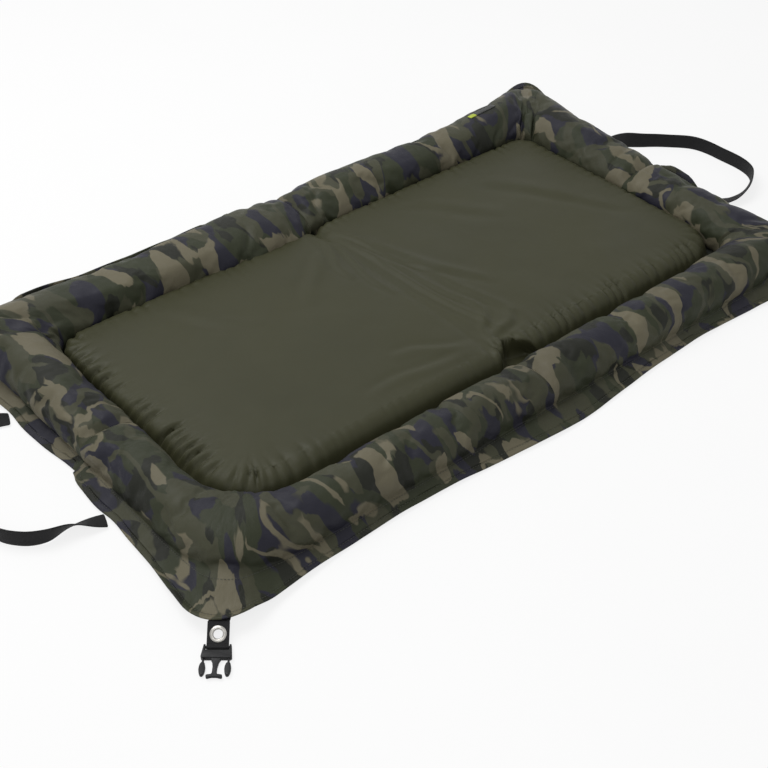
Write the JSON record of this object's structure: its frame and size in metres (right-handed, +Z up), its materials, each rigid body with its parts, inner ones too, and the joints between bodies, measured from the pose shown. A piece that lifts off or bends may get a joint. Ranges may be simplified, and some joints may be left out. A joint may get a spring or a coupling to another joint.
{
  "type": "unhooking mat",
  "caption": "Rectangular padded fish mat with a raised camouflage bolster round a smooth bed, webbing handles, pegging eyelets and clip straps at the corners; folds in half.",
  "frame": {"origin": "middle of the mat's footprint, on the ground", "axes": "+X along the mat's length towards the half with the buckle sockets, +Y to the long side with the label, +Z up"},
  "size_m": [1.3882, 0.7944, 0.0729],
  "materials": {
    "camo_cloth": "matt coated woven cloth with a woodland camouflage print",
    "panel_cloth": "smooth satin coated woven cloth",
    "ground_cloth": "coated woven ground sheet",
    "black_webbing": "matt ribbed webbing",
    "buckle_plastic": "satin moulded acetal",
    "nickel": "nickel plated brass",
    "wadding": "polyester fibre wadding",
    "foam": "open cell foam",
    "label_cloth": "woven label cloth, bare"
  },
  "bodies": {
    "left_half": {"base_sheet_left": "ground_cloth", "foam_pad_left": "foam", "panel_cover_left": "panel_cloth", "hem_binding_left": "camo_cloth", "bolster_cover_front_left": "camo_cloth", "bolster_filling_front_left": "wadding", "bolster_cover_back_left": "camo_cloth", "bolster_filling_back_left": "wadding"},
    "right_half": {"base_sheet_right": "ground_cloth", "foam_pad_right": "foam", "panel_cover_right": "panel_cloth", "hem_binding_right": "camo_cloth", "bolster_cover_front_right": "camo_cloth", "bolster_filling_front_right": "wadding", "bolster_cover_back_right": "camo_cloth", "bolster_filling_back_right": "wadding", "side_label": "label_cloth"},
    "handle_left": {"carry_handle_left": "black_webbing"},
    "handle_right": {"carry_handle_right": "black_webbing"},
    "corner_strap_front_left": {"corner_tab_front_left": "black_webbing", "eyelet_front_left": "nickel", "eyelet_washer_front_left": "nickel"},
    "corner_strap_back_left": {"corner_tab_back_left": "black_webbing", "eyelet_back_left": "nickel", "eyelet_washer_back_left": "nickel"},
    "corner_strap_front_right": {"corner_tab_front_right": "black_webbing", "eyelet_front_right": "nickel", "eyelet_washer_front_right": "nickel"},
    "corner_strap_back_right": {"corner_tab_back_right": "black_webbing", "eyelet_back_right": "nickel", "eyelet_washer_back_right": "nickel"},
    "plug_front_left": {"buckle_plug_front_left": "buckle_plastic"},
    "plug_back_left": {"buckle_plug_back_left": "buckle_plastic"},
    "socket_front_right": {"buckle_socket_front_right": "buckle_plastic"},
    "socket_back_right": {"buckle_socket_back_right": "buckle_plastic"},
    "arm_front_left_1": {"release_arm_front_left_1": "buckle_plastic"},
    "arm_front_left_2": {"release_arm_front_left_2": "buckle_plastic"},
    "arm_back_left_1": {"release_arm_back_left_1": "buckle_plastic"},
    "arm_back_left_2": {"release_arm_back_left_2": "buckle_plastic"}
  },
  "joints": [
    {"name": "fold", "type": "hinge", "parent": "left_half", "child": "right_half", "pos_m": [0, 0, 0.0755], "axis": [0, 1, 0], "range_deg": [-179, 0]},
    {"name": "handle_lift_left", "type": "hinge", "parent": "left_half", "child": "handle_left", "pos_m": [-0.56311, 0, 0.0047], "axis": [0, 1, 0], "range_deg": [0, 90]},
    {"name": "handle_lift_right", "type": "hinge", "parent": "right_half", "child": "handle_right", "pos_m": [0.56311, 0, 0.0047], "axis": [0, -1, 0], "range_deg": [0, 90]},
    {"name": "strap_lift_front_left", "type": "hinge", "parent": "left_half", "child": "corner_strap_front_left", "pos_m": [-0.55734, -0.33702, 0.01897], "axis": [-0.766, 0.6428, 0], "range_deg": [0, 85]},
    {"name": "strap_lift_back_left", "type": "hinge", "parent": "left_half", "child": "corner_strap_back_left", "pos_m": [-0.55734, 0.33702, 0.01897], "axis": [0.766, 0.6428, 0], "range_deg": [0, 85]},
    {"name": "strap_lift_front_right", "type": "hinge", "parent": "right_half", "child": "corner_strap_front_right", "pos_m": [0.55734, -0.33702, 0.01897], "axis": [-0.766, -0.6428, 0], "range_deg": [0, 85]},
    {"name": "strap_lift_back_right", "type": "hinge", "parent": "right_half", "child": "corner_strap_back_right", "pos_m": [0.55734, 0.33702, 0.01897], "axis": [0.766, -0.6428, 0], "range_deg": [0, 85]},
    {"name": "buckle_swing_front_left", "type": "hinge", "parent": "corner_strap_front_left", "child": "plug_front_left", "pos_m": [-0.57324, -0.35596, 0.0032], "axis": [0.766, -0.6428, 0], "range_deg": [-75, 0]},
    {"name": "buckle_swing_back_left", "type": "hinge", "parent": "corner_strap_back_left", "child": "plug_back_left", "pos_m": [-0.57324, 0.35596, 0.0032], "axis": [-0.766, -0.6428, 0], "range_deg": [-75, 0]},
    {"name": "buckle_swing_front_right", "type": "hinge", "parent": "corner_strap_front_right", "child": "socket_front_right", "pos_m": [0.57381, -0.35665, 0.0047], "axis": [0.766, 0.6428, 0], "range_deg": [-75, 0]},
    {"name": "buckle_swing_back_right", "type": "hinge", "parent": "corner_strap_back_right", "child": "socket_back_right", "pos_m": [0.57381, 0.35665, 0.0047], "axis": [-0.766, 0.6428, 0], "range_deg": [-75, 0]},
    {"name": "arm_pinch_front_left_1", "type": "hinge", "parent": "plug_front_left", "child": "arm_front_left_1", "pos_m": [-0.57316, -0.37796, 0.0032], "axis": [0, 0, -1], "range_deg": [0, 7], "stiffness_Nm_per_rad": 0.05},
    {"name": "arm_pinch_front_left_2", "type": "hinge", "parent": "plug_front_left", "child": "arm_front_left_2", "pos_m": [-0.59491, -0.3597, 0.0032], "axis": [0, 0, 1], "range_deg": [0, 7], "stiffness_Nm_per_rad": 0.05},
    {"name": "arm_pinch_back_left_1", "type": "hinge", "parent": "plug_back_left", "child": "arm_back_left_1", "pos_m": [-0.59491, 0.3597, 0.0032], "axis": [0, 0, -1], "range_deg": [0, 7], "stiffness_Nm_per_rad": 0.05},
    {"name": "arm_pinch_back_left_2", "type": "hinge", "parent": "plug_back_left", "child": "arm_back_left_2", "pos_m": [-0.57316, 0.37796, 0.0032], "axis": [0, 0, 1], "range_deg": [0, 7], "stiffness_Nm_per_rad": 0.05}
  ]
}
